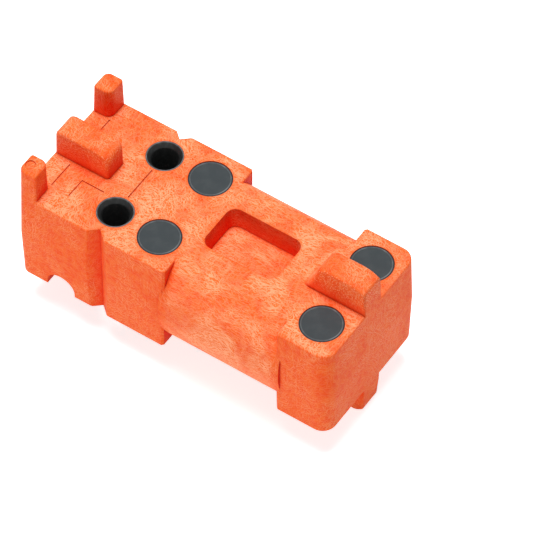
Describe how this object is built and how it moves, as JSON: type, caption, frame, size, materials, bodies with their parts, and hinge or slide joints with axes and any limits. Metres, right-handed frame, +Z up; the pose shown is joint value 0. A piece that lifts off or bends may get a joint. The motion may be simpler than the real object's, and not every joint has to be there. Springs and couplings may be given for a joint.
{
  "type": "drilling template",
  "caption": "Double-sided moulded drilling template with steel drill bushes, stop posts, guide ribs, a round grip and round pads.",
  "frame": {"origin": "middle of the block in plan, at the height of the feet", "axes": "+X along the block from the stop posts to the far end, +Z up, out of the working face"},
  "size_m": [0.135, 0.0608, 0.0722],
  "materials": {
    "moulded_plastic": "satin moulded plastic with pale fibres",
    "bush_steel": "blackened steel",
    "pad_rubber": "smooth dark grey"
  },
  "bodies": {
    "root": {"moulded_block": "moulded_plastic", "drill_bush_front": "bush_steel", "drill_bush_back": "bush_steel", "pad_head_front": "pad_rubber", "pad_head_back": "pad_rubber", "pad_tail_front": "pad_rubber", "pad_tail_back": "pad_rubber"}
  },
  "joints": []
}
